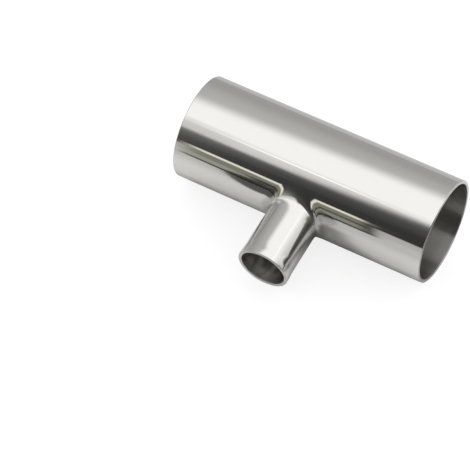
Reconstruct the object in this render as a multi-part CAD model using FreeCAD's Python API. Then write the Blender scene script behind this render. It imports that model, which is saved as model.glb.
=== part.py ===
import FreeCAD, Part

import math
import os

# Reducing tee for butt welding: a plain run tube with a smaller branch drawn out of its side.
# It is one piece of thin polished stainless tube. Sizes are in millimetres.
# The origin is where the axes of the run and the branch cross. The run lies along X,
# and the branch leaves towards -Y, drooping until the lip of its mouth meets the ground.

# Driving dimensions
run_outside_diameter = 50.8
branch_outside_diameter = 25.4
wall = 1.65
run_centre_to_end = 64.3
branch_centre_to_end = 55.0
root_reach = 5.6
mouth_swell = 0.3
mouth_swell_length = 5.5
mouth_land_length = 1.2
outside_edge_round = 0.35
inside_edge_round = 0.25

# Radii and places that follow from them
run_radius = run_outside_diameter / 2
run_bore_radius = run_radius - wall
mouth_radius = branch_outside_diameter / 2
neck_radius = mouth_radius - mouth_swell
swell_start = branch_centre_to_end - mouth_land_length - mouth_swell_length
land_start = branch_centre_to_end - mouth_land_length

centre = FreeCAD.Vector(0, 0, 0)
run_direction = FreeCAD.Vector(1, 0, 0)
branch_direction = FreeCAD.Vector(0, -1, 0)
same_place = 0.001

# The root's skin runs through this many points round the branch, and its sections are cubic curves
points_round_root = 192
section_degree = 3


def closed_curve(points):
    """A smooth closed curve through points that follow each other round the branch."""
    places = [index / len(points) for index in range(len(points) + 1)]
    curve = Part.BSplineCurve()
    curve.interpolate(Points=points, PeriodicFlag=True, Parameters=places)
    return curve


def root_face(radius, neck):
    """The eased root. It leaves the run along an oval and runs out into the neck at a circle."""
    half_oval = neck + root_reach
    half_turn = math.asin(half_oval / radius)
    root_end = radius + root_reach
    on_run = []
    at_corner = []
    on_neck = []
    for index in range(points_round_root):
        around = 2 * math.pi * index / points_round_root
        along = math.cos(around)
        up = math.sin(around)
        turn = half_turn * up
        on_run.append(FreeCAD.Vector(half_oval * along, -radius * math.cos(turn), radius * math.sin(turn)))
        corner_distance = (radius - neck * up * math.sin(turn)) / math.cos(turn)
        at_corner.append(FreeCAD.Vector(neck * along, -corner_distance, neck * up))
        on_neck.append(FreeCAD.Vector(neck * along, -root_end, neck * up))
    corner = closed_curve(at_corner)
    guides = [closed_curve(on_run), corner, corner, closed_curve(on_neck)]
    poles = [list(row) for row in zip(*[guide.getPoles() for guide in guides])]
    whole_end = section_degree + 1
    surface = Part.BSplineSurface()
    surface.buildFromPolesMultsKnots(
        poles=poles,
        umults=corner.getMultiplicities(),
        vmults=[whole_end, whole_end],
        uknots=corner.getKnots(),
        vknots=[0, 1],
        uperiodic=True,
        vperiodic=False,
        udegree=corner.Degree,
        vdegree=section_degree,
    )
    return surface.toShape()


def run_faces(radius, half_oval):
    """The run's side with an oval opening for the root, and its two flat ends."""
    outline = Part.Circle(centre, run_direction, radius)
    outline.XAxis = branch_direction.negative()
    cylinder = Part.Cylinder(outline)
    side = cylinder.toShape(0, 2 * math.pi, -run_centre_to_end, run_centre_to_end)
    middle = FreeCAD.Base.Vector2d(math.pi, 0)
    tip = FreeCAD.Base.Vector2d(math.pi, half_oval)
    flank = FreeCAD.Base.Vector2d(math.pi + math.asin(half_oval / radius), 0)
    oval = Part.Geom2d.Ellipse2d(tip, flank, middle)
    side.cutHoles([Part.Wire(oval.toShape(cylinder))])
    faces = [side]
    for distance in (-run_centre_to_end, run_centre_to_end):
        rim = Part.Circle(run_direction * distance, run_direction, radius)
        faces.append(Part.Face(Part.Wire(rim.toShape())))
    return faces


def branch_faces(neck, mouth, root_end):
    """The branch from the end of the root to its mouth, which is a little wider than the neck."""
    swell_radius = (mouth_swell_length ** 2 + mouth_swell ** 2) / (4 * mouth_swell)
    half_turn = math.asin(mouth_swell_length / 2 / swell_radius) / 2
    arc_drop = swell_radius * (1 - math.cos(half_turn))
    arc_reach = swell_radius * math.sin(half_turn)

    def at(radius, distance):
        return FreeCAD.Vector(radius, -distance, 0)

    neck_end = at(neck, swell_start)
    hollow = at(neck + arc_drop, swell_start + arc_reach)
    middle = at((neck + mouth) / 2, (swell_start + land_start) / 2)
    crown = at(mouth - arc_drop, land_start - arc_reach)
    land = at(mouth, land_start)
    mouth_edge = at(mouth, branch_centre_to_end)
    outline = [
        Part.makeLine(at(neck, root_end), neck_end),
        Part.Arc(neck_end, hollow, middle).toShape(),
        Part.Arc(middle, crown, land).toShape(),
        Part.makeLine(land, mouth_edge),
        Part.makeLine(mouth_edge, at(0, branch_centre_to_end)),
    ]
    return Part.Wire(outline).revolve(centre, branch_direction, 360).Faces


def filled_tee(inset):
    """The tee as a filled body, inset from the outside by the given depth."""
    radius = run_radius - inset
    neck = neck_radius - inset
    faces = run_faces(radius, neck + root_reach)
    faces.append(root_face(radius, neck))
    faces += branch_faces(neck, mouth_radius - inset, radius + root_reach)
    skin = Part.makeCompound(faces)
    skin.sewShape()
    return Part.Solid(skin.Shells[0])


def end_edges(shape, radius, distance):
    """The round edges of one radius that lie a given distance from the centre."""
    found = []
    for edge in shape.Edges:
        if isinstance(edge.Curve, Part.Circle):
            right_size = abs(edge.Curve.Radius - radius) < same_place
            right_place = abs(edge.Curve.Center.Length - distance) < same_place
            if right_size and right_place:
                found.append(edge)
    return found


def ends_eased(shape):
    """The three cut ends with their sharp edges taken off, outside and in."""
    outer = end_edges(shape, run_radius, run_centre_to_end)
    outer += end_edges(shape, mouth_radius, branch_centre_to_end)
    inner = end_edges(shape, run_bore_radius, run_centre_to_end)
    inner += end_edges(shape, mouth_radius - wall, branch_centre_to_end)
    return shape.makeFillet(outside_edge_round, outer).makeFillet(inside_edge_round, inner)


def rest_droop():
    """How far the branch swings down about the run before its lip meets the ground, in degrees."""
    lip_distance = branch_centre_to_end - outside_edge_round
    lip_radius = mouth_radius - outside_edge_round
    fall = run_radius - outside_edge_round
    reach = math.hypot(lip_distance, lip_radius)
    return math.degrees(math.asin(fall / reach) - math.atan2(lip_radius, lip_distance))


reducing_tee = ends_eased(filled_tee(0).cut(filled_tee(wall)))
reducing_tee.rotate(centre, run_direction, rest_droop())

os.makedirs("parts", exist_ok=True)
reducing_tee.exportStep("parts/reducing_tee.step")
print("volume", round(reducing_tee.Volume, 1), "solids", len(reducing_tee.Solids), "valid", reducing_tee.isValid())
print("droop", round(rest_droop(), 3), "lowest", round(reducing_tee.optimalBoundingBox().ZMin, 4))
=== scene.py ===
import math

import bpy
from mathutils import Matrix, Vector


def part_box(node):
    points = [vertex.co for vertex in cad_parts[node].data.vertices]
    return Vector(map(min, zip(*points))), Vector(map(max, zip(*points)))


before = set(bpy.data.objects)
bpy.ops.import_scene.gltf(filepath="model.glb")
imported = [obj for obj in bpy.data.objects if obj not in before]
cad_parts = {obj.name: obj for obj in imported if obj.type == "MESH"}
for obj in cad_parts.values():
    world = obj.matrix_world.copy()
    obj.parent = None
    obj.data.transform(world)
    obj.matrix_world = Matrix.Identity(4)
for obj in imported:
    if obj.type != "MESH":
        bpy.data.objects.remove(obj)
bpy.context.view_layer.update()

# The camera
# It looks down on the tee from the branch's side and a little from the run's near end, as the photograph
# does. The roll is the tilt that the camera had in the hand. The lens and the film are in millimetres, and all
# else is in metres.
view_azimuth = math.radians(26.254)
view_elevation = math.radians(46.282)
view_roll = math.radians(4.461)
view_distance = 1.18934
lens_length = 196.26
film_width = 36.0
nearest_seen = 0.05
farthest_seen = 20.0
aim = Vector((-0.024037, -0.035536, -0.020307))
towards_camera = Vector((
    math.sin(view_azimuth) * math.cos(view_elevation),
    -math.cos(view_azimuth) * math.cos(view_elevation),
    math.sin(view_elevation),
))
camera = bpy.data.objects.new("camera", bpy.data.cameras.new("camera"))
camera.data.lens = lens_length
camera.data.sensor_width = film_width
camera.data.clip_start = nearest_seen
camera.data.clip_end = farthest_seen
place = Matrix.Translation(aim + towards_camera * view_distance)
turn = (-towards_camera).to_track_quat("-Z", "Y").to_matrix().to_4x4()
camera.matrix_world = place @ turn @ Matrix.Rotation(view_roll, 4, "Z")
bpy.context.scene.collection.objects.link(camera)
bpy.context.scene.camera = camera
bpy.context.scene.view_settings.view_transform = "Standard"

# The reducing tee
# It is one piece of thin stainless tube, with the smaller branch drawn out of the run's side. The outside was
# polished to a mirror by a wheel that ran round the run and round the branch. The bores keep a duller, drawn
# skin, and the three cut faces were turned square.
branch_droop = math.radians(13.824)
run_half_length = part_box("reducing_tee")[1][0]
branch_length = 0.055
cut_face_depth = 0.0003
skin_step = 0.004
run_lines_end = 0.0265
branch_lines_start = 0.0310
root_near_edge = (0.0225, 0.0250)
root_far_edge = (0.0285, 0.0325)
root_reach = (0.0145, 0.0180)
flank_side = (0.0085, 0.0115)
lines_per_metre = 2200.0
line_breaks_per_metre = 30.0
clouds_per_metre = 38.0
root_clouds_per_metre = 420.0
steel_colour = (0.62, 0.615, 0.59, 1.0)
run_bore_colour = (0.43, 0.424, 0.40, 1.0)
cut_face_colour = (0.58, 0.575, 0.55, 1.0)
# The next two set the painted shade on the root's flanks, in the corner between branch and run
flank_shade_colour = (0.37, 0.367, 0.35, 1.0)
flank_shade_strength = (0.6, 1.0)
polish_roughness = (0.085, 0.10)
polish_cloud = (0.95, 1.05)
run_bore_roughness = (0.285, 0.385)
branch_bore_roughness = (0.20, 0.27)
clear_root_roughness = 0.09
dull_root_roughness = 0.12
dull_flank_roughness = 0.19
cut_face_roughness = 0.3
outside_line_depth = 0.0000002
bore_line_depth = 0.0000006
gloss_stretch = 0.95

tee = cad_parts["reducing_tee"]
steel = bpy.data.materials.new("polished_stainless_steel")
steel.use_nodes = True
steel_tree = steel.node_tree
steel_shader = steel_tree.nodes["Principled BSDF"]
steel_shader.inputs["Metallic"].default_value = 1.0
steel_shader.inputs["Anisotropic"].default_value = gloss_stretch
tee.material_slots[0].material = steel


def feed(tree, socket, value):
    """Sets a socket to a plain value, or joins another node's result to it."""
    if isinstance(value, bpy.types.NodeSocket):
        tree.links.new(value, socket)
    else:
        socket.default_value = value


def math_node(tree, operation, first, second=0.0):
    """One sum on two numbers or results."""
    node = tree.nodes.new("ShaderNodeMath")
    node.operation = operation
    feed(tree, node.inputs[0], first)
    feed(tree, node.inputs[1], second)
    return node.outputs["Value"]


def product(tree, *factors):
    """Several factors multiplied together."""
    result = factors[0]
    for factor in factors[1:]:
        result = math_node(tree, "MULTIPLY", result, factor)
    return result


def ramp(tree, value, start, end, low=0.0, high=1.0):
    """A soft change from low to high as the value goes from start to end."""
    node = tree.nodes.new("ShaderNodeMapRange")
    node.interpolation_type = "SMOOTHSTEP"
    sockets = ("Value", "From Min", "From Max", "To Min", "To Max")
    for name, number in zip(sockets, (value, start, end, low, high)):
        feed(tree, node.inputs[name], number)
    return node.outputs["Result"]


def between(tree, value, start, full, fading, end):
    """1 between the two middle values and 0 beyond the outer two, with a soft change on each side."""
    return product(tree, ramp(tree, value, start, full), ramp(tree, value, end, fading))


def blend(tree, first, second, share, kind="FLOAT"):
    """The first number, vector or colour where the share is 0, and the second where it is 1."""
    node = tree.nodes.new("ShaderNodeMix")
    node.data_type = kind
    for name, value in (("Factor", share), ("A", first), ("B", second)):
        feed(tree, node.inputs[name], value)
    return node.outputs["Result"]


def parts(tree, vector):
    """The X, Y and Z of a vector, each as a result of its own."""
    node = tree.nodes.new("ShaderNodeSeparateXYZ")
    tree.links.new(vector, node.inputs["Vector"])
    return node.outputs["X"], node.outputs["Y"], node.outputs["Z"]


def stretched_noise(tree, vector, pitch, detail):
    """Noise as lines or clouds. The pitch is how many of them fit in a metre along each axis."""
    stretch = tree.nodes.new("ShaderNodeMapping")
    stretch.inputs["Scale"].default_value = pitch
    tree.links.new(vector, stretch.inputs["Vector"])
    noise = tree.nodes.new("ShaderNodeTexNoise")
    noise.inputs["Scale"].default_value = 1.0
    noise.inputs["Detail"].default_value = detail
    tree.links.new(stretch.outputs["Vector"], noise.inputs["Vector"])
    return noise.outputs["Fac"]


def wander(noise, low, high):
    """A number that goes from low to high with the noise, which mostly stays between 0.3 and 0.7."""
    return ramp(steel_tree, noise, 0.3, 0.7, low, high)


def at_cut_face(distance, length):
    """1 on the cut face at the end of a tube of that length, and 0 along the tube."""
    return ramp(steel_tree, distance, length - cut_face_depth, length - cut_face_depth / 2)


# Where the skin lies, along the run and, with the droop taken out, along the branch
skin = steel_tree.nodes.new("ShaderNodeTexCoord")
skin_place = skin.outputs["Object"]
skin_normal = skin.outputs["Normal"]
raised = steel_tree.nodes.new("ShaderNodeMapping")
raised.vector_type = "POINT"
raised.inputs["Rotation"].default_value = (-branch_droop, 0.0, 0.0)
steel_tree.links.new(skin_place, raised.inputs["Vector"])
raised_place = raised.outputs["Vector"]
run_x = parts(steel_tree, skin_place)[0]
branch_x, branch_y, branch_z = parts(steel_tree, raised_place)
along_run = math_node(steel_tree, "ABSOLUTE", run_x)
along_branch = product(steel_tree, branch_y, -1.0)
on_branch = ramp(steel_tree, along_branch, run_lines_end, branch_lines_start)
on_run_end = at_cut_face(along_run, run_half_length)
on_mouth = at_cut_face(along_branch, branch_length)
cut_face = math_node(steel_tree, "MAXIMUM", on_run_end, on_mouth)

# The outside and the cut faces look away from where the axes cross, and the bores look towards it
facing_out = steel_tree.nodes.new("ShaderNodeVectorMath")
facing_out.operation = "DOT_PRODUCT"
steel_tree.links.new(skin_place, facing_out.inputs[0])
steel_tree.links.new(skin_normal, facing_out.inputs[1])
outside = ramp(steel_tree, facing_out.outputs["Value"], -skin_step, skin_step)

# The polishing lines run round the tube, so the gloss is drawn out along it
run_direction = (1.0, 0.0, 0.0)
branch_direction = (0.0, -math.cos(branch_droop), -math.sin(branch_droop))
along_tube = blend(steel_tree, run_direction, branch_direction, on_branch, "VECTOR")

# On a cut face the turning lines run round the face, so the gloss is drawn out from its middle
to_cut_plane = steel_tree.nodes.new("ShaderNodeVectorMath")
to_cut_plane.operation = "SCALE"
steel_tree.links.new(skin_normal, to_cut_plane.inputs[0])
steel_tree.links.new(facing_out.outputs["Value"], to_cut_plane.inputs["Scale"])
from_middle = steel_tree.nodes.new("ShaderNodeVectorMath")
from_middle.operation = "SUBTRACT"
steel_tree.links.new(skin_place, from_middle.inputs[0])
steel_tree.links.new(to_cut_plane.outputs["Vector"], from_middle.inputs[1])
across_lines = blend(steel_tree, along_tube, from_middle.outputs["Vector"], cut_face, "VECTOR")
steel_tree.links.new(across_lines, steel_shader.inputs["Tangent"])

# The polish wanders a little with the lines and with broad clouds, and the bores are duller, the run's most
run_line_pitch = (lines_per_metre, line_breaks_per_metre, line_breaks_per_metre)
branch_line_pitch = (line_breaks_per_metre, lines_per_metre, line_breaks_per_metre)
lines_round_run = stretched_noise(steel_tree, skin_place, run_line_pitch, 2.0)
lines_round_branch = stretched_noise(steel_tree, raised_place, branch_line_pitch, 2.0)
fine_lines = blend(steel_tree, lines_round_run, lines_round_branch, on_branch)
cloud = stretched_noise(steel_tree, skin_place, (clouds_per_metre,) * 3, 2.0)
polished = product(steel_tree, wander(fine_lines, *polish_roughness), wander(cloud, *polish_cloud))
run_bore = wander(fine_lines, *run_bore_roughness)
branch_bore = wander(fine_lines, *branch_bore_roughness)
drawn = blend(steel_tree, run_bore, branch_bore, on_branch)

# The wheel can't reach into the root, which is left a little duller and cloudy, most of all on its flanks
side_squared = math_node(steel_tree, "POWER", branch_x, 2.0)
height_squared = math_node(steel_tree, "POWER", branch_z, 2.0)
from_axis = math_node(steel_tree, "SQRT", math_node(steel_tree, "ADD", side_squared, height_squared))
near_branch = ramp(steel_tree, from_axis, *root_reach, 1.0, 0.0)
along_root = between(steel_tree, along_branch, *root_near_edge, *root_far_edge)
in_root = product(steel_tree, near_branch, along_root)
beside_branch = ramp(steel_tree, math_node(steel_tree, "ABSOLUTE", branch_x), *flank_side)
in_flank = product(steel_tree, in_root, beside_branch)
root_cloud = stretched_noise(steel_tree, skin_place, (root_clouds_per_metre,) * 3, 3.0)
dull_roughness = blend(steel_tree, dull_root_roughness, dull_flank_roughness, in_flank)
root_roughness = ramp(steel_tree, root_cloud, 0.35, 0.65, clear_root_roughness, dull_roughness)
polished = blend(steel_tree, polished, root_roughness, in_root)
skin_roughness = blend(steel_tree, drawn, polished, outside)
roughness = blend(steel_tree, skin_roughness, cut_face_roughness, cut_face)
steel_tree.links.new(roughness, steel_shader.inputs["Roughness"])

# The run's bore and the cut faces are darker than the polish, and cloudy painted shade darkens the root's
# flanks
out_of_run_bore = math_node(steel_tree, "MAXIMUM", outside, on_branch)
in_run_bore = math_node(steel_tree, "SUBTRACT", 1.0, out_of_run_bore)
tone = blend(steel_tree, steel_colour, run_bore_colour, in_run_bore, "RGBA")
tone = blend(steel_tree, tone, cut_face_colour, cut_face, "RGBA")
# The root's flanks lie in the corner between branch and run, and their darker tone there is painted shade
flank_shade_cloud = product(steel_tree, in_flank, wander(root_cloud, *flank_shade_strength))
tone = blend(steel_tree, tone, flank_shade_colour, flank_shade_cloud, "RGBA")
steel_tree.links.new(tone, steel_shader.inputs["Base Color"])

# The lines are cut deeper in the bores than outside
line_depth = blend(steel_tree, bore_line_depth, outside_line_depth, outside)
relief = steel_tree.nodes.new("ShaderNodeBump")
relief.inputs["Distance"].default_value = 1.0
steel_tree.links.new(product(steel_tree, fine_lines, line_depth), relief.inputs["Height"])
steel_tree.links.new(relief.outputs["Normal"], steel_shader.inputs["Normal"])

# The floor
# A wide sheet of matt white paper. To the eye it is as white as the background and keeps the tee's soft
# shadow. In the polish its colour is a painted pool of light round the tee that falls off with distance,
# with painted shade in places.
floor_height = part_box("reducing_tee")[0][2]
floor_width = 4.0
pool_middle = 0.01
patch_middle = (-0.047, -0.098)
patch_half_size = (0.018, 0.041)
patch_slant = 0.33
paper_roughness = 0.9
paper_whiteness = 0.9
seen_whiteness = 0.22
polish_glow = 0.08

bpy.ops.object.select_all(action="DESELECT")
bpy.ops.mesh.primitive_plane_add(size=floor_width, location=(0.0, 0.0, floor_height))
bpy.ops.object.transform_apply(location=True, rotation=False, scale=False)
floor = bpy.context.object
floor.name = "floor"
paper = bpy.data.materials.new("white_paper")
paper.use_nodes = True
paper_tree = paper.node_tree
paper_shader = paper_tree.nodes["Principled BSDF"]
paper_shader.inputs["Roughness"].default_value = paper_roughness
paper_shader.inputs["Specular IOR Level"].default_value = 0.0
paper_shader.inputs["Emission Color"].default_value = (1, 1, 1, 1)
sight = paper_tree.nodes.new("ShaderNodeLightPath")
to_eye = sight.outputs["Is Camera Ray"]
through_glass = sight.outputs["Is Transmission Ray"]
in_polish = math_node(paper_tree, "MAXIMUM", sight.outputs["Is Glossy Ray"], through_glass)
paper_place = paper_tree.nodes.new("ShaderNodeTexCoord").outputs["Object"]
paper_x, paper_y, _ = parts(paper_tree, paper_place)


def dimmed(tree, share, level):
    """1 where the share is 0, down to the level where it is 1."""
    return ramp(tree, share, 0.0, 1.0, 1.0, level)


def oval_reach(tree, across, along, middle, half_size):
    """How far a place lies from the middle of an oval, squared, with 1 on its rim."""
    across = math_node(tree, "DIVIDE", math_node(tree, "SUBTRACT", across, middle[0]), half_size[0])
    along = math_node(tree, "DIVIDE", math_node(tree, "SUBTRACT", along, middle[1]), half_size[1])
    across_squared = math_node(tree, "POWER", across, 2.0)
    along_squared = math_node(tree, "POWER", along, 2.0)
    return math_node(tree, "ADD", across_squared, along_squared)


# The pool is dim under the run, brightest beside it and dimmer again farther out
from_run = math_node(paper_tree, "ABSOLUTE", math_node(paper_tree, "SUBTRACT", paper_y, pool_middle))
beside_run = ramp(paper_tree, from_run, 0.022, 0.040, 0.60, 1.08)
near_fall = ramp(paper_tree, from_run, 0.050, 0.095, 1.0, 0.73)
far_fall = ramp(paper_tree, from_run, 0.12, 0.20, 1.0, 0.85)
behind_fall = ramp(paper_tree, paper_y, 0.03, 0.08, 1.0, 0.86)
behind_rise = ramp(paper_tree, paper_y, 0.12, 0.25, 1.0, 1.16)
ahead_fall = ramp(paper_tree, paper_y, -0.75, -0.45, 0.1, 1.0)
pool = product(paper_tree, beside_run, near_fall, far_fall, behind_fall, behind_rise, ahead_fall)

# A shade lies in the corner of branch and run, and another out to the right
corner_end = ramp(paper_tree, paper_y, -0.040, -0.020, 0.028, 0.052)
corner_shade = between(paper_tree, paper_x, -0.002, 0.005, 0.012, corner_end)
beside_corner = between(paper_tree, paper_y, -0.060, -0.036, 0.0, 0.012)
corner_shade = product(paper_tree, corner_shade, beside_corner)
far_right = ramp(paper_tree, paper_x, 0.085, 0.115)
far_right = product(paper_tree, far_right, ramp(paper_tree, paper_y, 0.03, -0.01))
pool = product(paper_tree, pool, dimmed(paper_tree, corner_shade, 0.56), dimmed(paper_tree, far_right, 0.4))

# A slanting painted shadow lies on the paper at the foot of the low card
patch_along = math_node(paper_tree, "SUBTRACT", paper_y, patch_middle[1])
patch_across = math_node(paper_tree, "SUBTRACT", paper_x, product(paper_tree, patch_along, patch_slant))
patch_reach = oval_reach(paper_tree, patch_across, paper_y, patch_middle, patch_half_size)
shadow_patch = ramp(paper_tree, patch_reach, 1.1, 0.75)
pool = product(paper_tree, pool, dimmed(paper_tree, shadow_patch, 0.15))

# Only the polish sees the pool, and the eye sees white paper that glows a little less close to the tee
paper_light = blend(paper_tree, 1.0, pool, in_polish)
paper_tone = blend(paper_tree, paper_whiteness, seen_whiteness, to_eye)
paper_tree.links.new(product(paper_tree, paper_tone, paper_light), paper_shader.inputs["Base Color"])
from_tee = paper_tree.nodes.new("ShaderNodeVectorMath")
from_tee.operation = "LENGTH"
paper_tree.links.new(paper_place, from_tee.inputs[0])
# The glow is lower close to the tee, which paints a little shade round it on top of its real shadow
seen_glow = ramp(paper_tree, from_tee.outputs["Value"], 0.045, 0.12, 0.81, 0.92)
pool_glow = product(paper_tree, paper_light, in_polish, polish_glow)
paper_glow = blend(paper_tree, pool_glow, seen_glow, to_eye)
paper_tree.links.new(paper_glow, paper_shader.inputs["Emission Strength"])
floor.data.materials.append(paper)

# The light tent
# A dome of cloth over the tee, seen only in the polish. A broad soft light fills its top and its right, and
# its front is in the dark. The rest is a plain dim grey, with a dark part at the rear right and a pale panel
# on the left.
tent_radius = 1.0
front_angle = -10
side_angle = 42
rear_angle = 50
dark_angle = 45
light_strength = 1.45
front_seam_strength = 1.1
right_seam_strength = 0.18
panel_strength = 0.95
rear_right_strength = 0.2

bpy.ops.object.select_all(action="DESELECT")
bpy.ops.mesh.primitive_uv_sphere_add(segments=64, ring_count=32, radius=tent_radius, location=(0, 0, 0))
tent = bpy.context.object
tent.name = "light_tent"


def glow_material(name):
    """A material that only glows, its nodes, its glow's sockets, and the X, Y and Z of a place on it."""
    material = bpy.data.materials.new(name)
    material.use_nodes = True
    tree = material.node_tree
    tree.nodes.clear()
    glow = tree.nodes.new("ShaderNodeEmission")
    surface = tree.nodes.new("ShaderNodeOutputMaterial")
    tree.links.new(glow.outputs["Emission"], surface.inputs["Surface"])
    place_on_it = tree.nodes.new("ShaderNodeTexCoord").outputs["Object"]
    return material, tree, glow.inputs, parts(tree, place_on_it)


def show_in_polish_only(piece):
    """Hides a stage piece from the eye, and keeps its light and its shadow off the floor."""
    piece.visible_camera = False
    piece.visible_diffuse = False
    piece.visible_shadow = False


cloth, cloth_tree, cloth_glow, cloth_place = glow_material("tent_cloth")
rightward, rearward, upward = cloth_place


def towards(angle):
    """How far a place on the cloth lies to the front, turned to the right by an angle in degrees."""
    across = product(cloth_tree, rightward, math.sin(math.radians(angle)))
    ahead = product(cloth_tree, rearward, -math.cos(math.radians(angle)))
    return math_node(cloth_tree, "ADD", across, ahead)


def band(value, middle, half_width):
    """A soft band of 1 on either side of a middle value."""
    away = math_node(cloth_tree, "ABSOLUTE", math_node(cloth_tree, "SUBTRACT", value, middle))
    return ramp(cloth_tree, away, half_width, 0.0)


# Which part of the cloth is lit
front_edge = ramp(cloth_tree, towards(front_angle), 0.87, 0.80)
side_edge = ramp(cloth_tree, towards(side_angle), 0.43, 0.345)
rear_edge = ramp(cloth_tree, towards(rear_angle), -0.53, -0.25)
above_floor = ramp(cloth_tree, upward, 0.0, 0.12)
lit_top = product(cloth_tree, front_edge, side_edge, rear_edge, above_floor)
above_slope = ramp(cloth_tree, math_node(cloth_tree, "ADD", rearward, upward), 0.02, 0.10)
right_part = between(cloth_tree, rightward, -0.12, 0.06, 0.79, 0.86)
lit_right = product(cloth_tree, above_slope, right_part, above_floor)
past_slope = math_node(cloth_tree, "SUBTRACT", rearward, product(cloth_tree, upward, 0.62))
rear_right = product(
    cloth_tree,
    ramp(cloth_tree, past_slope, -0.02, 0.05),
    between(cloth_tree, rightward, 0.12, 0.24, 0.48, 0.62),
)
lit = math_node(cloth_tree, "MAXIMUM", lit_top, lit_right)
lit = blend(cloth_tree, lit, 0.0, rear_right)

# The light is weaker to the right, to the front and at a front corner, and brighter along two seams
right_fall = ramp(cloth_tree, rightward, 0.55, 0.80, 1.0, 0.76)
front_fall = ramp(cloth_tree, rearward, -0.50, -0.68, 1.0, 0.72)
corner = ramp(cloth_tree, rightward, -0.33, -0.36, 0.0, 0.14)
corner = product(cloth_tree, corner, ramp(cloth_tree, rearward, -0.47, -0.52))
out_of_corner = math_node(cloth_tree, "SUBTRACT", 1.0, corner)
light = product(cloth_tree, right_fall, front_fall, out_of_corner, light_strength)
front_seam_part = between(cloth_tree, rightward, -0.36, -0.32, -0.24, -0.20)
front_seam = product(cloth_tree, band(rearward, -0.605, 0.016), front_seam_part, front_seam_strength)
right_seam = product(cloth_tree, band(rightward, 0.50, 0.06), right_seam_strength)
light = math_node(cloth_tree, "ADD", light, math_node(cloth_tree, "ADD", front_seam, right_seam))

# The unlit cloth is grey, with the dark front, the pale panel and the dark part at the rear right
dim = ramp(cloth_tree, upward, 0.3, 0.9, 0.5, 0.68)
dark = ramp(cloth_tree, upward, 0.25, 0.5, 0.05, 0.09)
dark = product(cloth_tree, dark, ramp(cloth_tree, rightward, 0.3, 0.8, 1.0, 2.6))
unlit = blend(cloth_tree, dim, dark, ramp(cloth_tree, towards(dark_angle), 0.08, 0.44))
left_panel = product(
    cloth_tree,
    ramp(cloth_tree, rightward, -0.90, -0.95),
    band(rearward, 0.0, 0.24),
    between(cloth_tree, upward, 0.06, 0.14, 0.34, 0.48),
)
unlit = blend(cloth_tree, unlit, panel_strength, left_panel)
unlit = blend(cloth_tree, unlit, rear_right_strength, rear_right)
cloth_tree.links.new(blend(cloth_tree, unlit, light, lit), cloth_glow["Strength"])
tent.data.materials.append(cloth)
show_in_polish_only(tent)

# The low card
# A strip of card that stands on the floor in front of the tee, seen only in the polish. Its glow is a painted
# reflection: a painted highlight along its top edge, painted shade at its foot and its right end, and a dark
# line and two dark spots of painted shade on its face.
card_left = -0.0885
card_right = 0.0205
card_front = patch_middle[1]
card_top = 0.0150
card_edge = 0.0075
# Where the painted shade lies on the face: a dark line and two dark spots
shade_line_height = -0.005
shade_line_half_width = 0.0042
shade_spot_middle = (patch_middle[0], floor_height)
shade_spot_half_size = (patch_half_size[0], 0.0145)
shade_lobe_middle = (-0.0405, -0.008)
shade_lobe_half_size = (0.0085, 0.0085)
card_glow_colour = (1.0, 0.98, 0.86, 1.0)

bpy.ops.object.select_all(action="DESELECT")
bpy.ops.mesh.primitive_plane_add(size=1.0, location=(0, 0, 0), rotation=(math.radians(90), 0, 0))
card = bpy.context.object
card.name = "low_card"
card.scale = (card_right - card_left, card_top - floor_height, 1.0)
card.location = ((card_left + card_right) / 2, card_front, (card_top + floor_height) / 2)
bpy.ops.object.transform_apply(location=True, rotation=True, scale=True)
board, board_tree, board_glow, board_place = glow_material("glowing_card")
length, _, height = board_place

# The face glows a dim grey, painted a little paler below at its left and paler still at its left end
lower_face = blend(board_tree, 0.36, 0.47, ramp(board_tree, length, -0.045, -0.060))
face = ramp(board_tree, height, -0.004, -0.010, 0.30, lower_face)
# Painted shade makes a dark line along the face and two dark spots on it, one at its foot
from_shade_line = math_node(board_tree, "ABSOLUTE", math_node(board_tree, "SUBTRACT", height, shade_line_height))
shade_line = ramp(board_tree, from_shade_line, shade_line_half_width, 0.0)
shade_line = product(board_tree, shade_line, ramp(board_tree, length, -0.055, -0.045))
shade_spot_reach = oval_reach(board_tree, length, height, shade_spot_middle, shade_spot_half_size)
shade_lobe_reach = oval_reach(board_tree, length, height, shade_lobe_middle, shade_lobe_half_size)
shade_spot = ramp(board_tree, shade_spot_reach, 1.1, 0.75, 1.0, 0.2)
shade_lobe = ramp(board_tree, shade_lobe_reach, 1.1, 0.75, 1.0, 0.35)
face = product(board_tree, face, dimmed(board_tree, shade_line, 0.25), shade_spot, shade_lobe)
face = blend(board_tree, 0.55, face, ramp(board_tree, length, card_left, card_left + 0.0105))

# The painted highlight along the top edge is bright, and dims towards its left end
edge_light = ramp(board_tree, length, card_left, card_left + 0.0125, 0.25, 1.15)
on_edge = ramp(board_tree, height, card_top - card_edge, card_top - card_edge * 2 / 3)
board_light = blend(board_tree, face, edge_light, on_edge)
# Painted shade darkens the foot and the right end
foot_dark = ramp(board_tree, height, -0.022, -0.018, 0.12, 1.0)
end_dark = ramp(board_tree, length, card_right - 0.008, card_right - 0.006, 1.0, 0.12)
board_light = product(board_tree, board_light, foot_dark, end_dark)
board_tree.links.new(board_light, board_glow["Strength"])
board_glow["Color"].default_value = card_glow_colour
card.data.materials.append(board)
show_in_polish_only(card)

# The background
# Plain white all round. It lights the floor evenly from every side, so the tee stands in its own soft shadow.
world = bpy.data.worlds.new("studio")
bpy.context.scene.world = world
world.use_nodes = True
backdrop = world.node_tree.nodes["Background"]
backdrop.inputs["Color"].default_value = (1, 1, 1, 1)
backdrop.inputs["Strength"].default_value = 1.0
